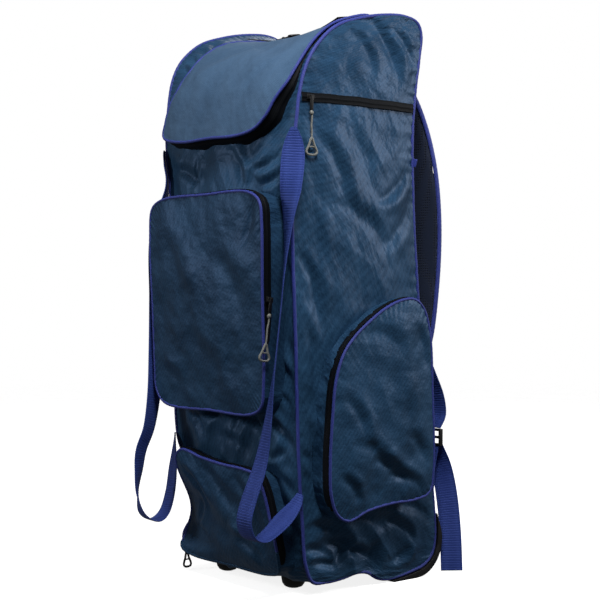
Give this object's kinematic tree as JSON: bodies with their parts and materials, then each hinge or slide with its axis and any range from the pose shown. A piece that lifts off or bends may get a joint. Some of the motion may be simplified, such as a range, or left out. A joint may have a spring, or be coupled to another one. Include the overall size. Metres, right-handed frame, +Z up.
{
  "type": "wheeled duffel bag",
  "caption": "Tall upright wheeled duffel with a zipped lid, front, lower and side pockets, two carrying handles, padded backpack straps and a moulded wheeled base.",
  "frame": {"origin": "centre of the footprint of the bag's box, on the floor", "axes": "+Z up, -Y towards the side with the front pockets, +X towards the side with the side pocket, +Y towards the shoulder straps"},
  "size_m": [0.4282, 0.4744, 0.9769],
  "materials": {
    "navy_polyester": "matte twill",
    "navy_lid_polyester": "matte twill",
    "deep_navy_polyester": "matte twill",
    "blue_piping": "woven",
    "blue_webbing": "ribbed",
    "black_zip": "coil zip tape",
    "black_spacer_mesh": "mesh",
    "black_moulded_plastic": "satin",
    "black_wheel_rubber": "matte",
    "grey_moulded_pull": "satin",
    "bright_metal": "satin"
  },
  "bodies": {
    "bag": {"front_panel": "navy_polyester", "right_side_panel": "navy_polyester", "left_side_panel": "navy_polyester", "top_panel": "navy_polyester", "lid_panel": "navy_lid_polyester", "lid_piping": "blue_piping", "lid_zip_band": "black_zip", "right_body_piping": "blue_piping", "left_body_piping": "blue_piping", "front_pocket_face": "deep_navy_polyester", "front_pocket_piping": "blue_piping", "front_pocket_gusset": "deep_navy_polyester", "front_pocket_zip": "black_zip", "lower_pocket_face": "deep_navy_polyester", "lower_pocket_piping": "blue_piping", "lower_pocket_gusset": "deep_navy_polyester", "lower_pocket_zip": "black_zip", "side_pocket_face": "navy_polyester", "side_pocket_piping": "blue_piping", "side_pocket_gusset": "navy_polyester", "side_pocket_zip": "black_zip", "side_zip": "black_zip", "right_handle": "blue_webbing", "left_handle": "blue_webbing", "right_shoulder_pad": "black_spacer_mesh", "right_pad_outer_binding": "blue_piping", "right_pad_inner_binding": "blue_piping", "right_upper_strap": "blue_webbing", "right_lower_strap": "blue_webbing", "right_strap_tail": "blue_webbing", "right_ladder_lock": "black_moulded_plastic", "left_shoulder_pad": "black_spacer_mesh", "left_pad_outer_binding": "blue_piping", "left_pad_inner_binding": "blue_piping", "left_upper_strap": "blue_webbing", "left_lower_strap": "blue_webbing", "left_strap_tail": "blue_webbing", "left_ladder_lock": "black_moulded_plastic", "base_tray": "black_moulded_plastic", "back_panel": "navy_polyester", "right_wheel_housing": "black_moulded_plastic", "right_axle": "bright_metal", "right_front_foot": "black_moulded_plastic", "left_wheel_housing": "black_moulded_plastic", "left_axle": "bright_metal", "left_front_foot": "black_moulded_plastic", "front_skid": "black_moulded_plastic", "side_zip_slider": "black_moulded_plastic", "side_zip_pull": "grey_moulded_pull", "front_pocket_slider": "black_moulded_plastic", "front_pocket_pull": "grey_moulded_pull", "lower_pocket_slider": "black_moulded_plastic", "lower_pocket_pull": "black_moulded_plastic", "lid_zip_slider": "black_moulded_plastic", "lid_zip_pull": "black_moulded_plastic"},
    "right_wheel_body": {"right_wheel": "black_wheel_rubber"},
    "left_wheel_body": {"left_wheel": "black_wheel_rubber"}
  },
  "joints": [
    {"name": "right_wheel_spin", "type": "hinge", "parent": "bag", "child": "right_wheel_body", "pos_m": [0.11862, 0.15265, 0.04149], "axis": [1, 0, 0], "continuous": true},
    {"name": "left_wheel_spin", "type": "hinge", "parent": "bag", "child": "left_wheel_body", "pos_m": [-0.13938, 0.15265, 0.04149], "axis": [1, 0, 0], "continuous": true}
  ]
}
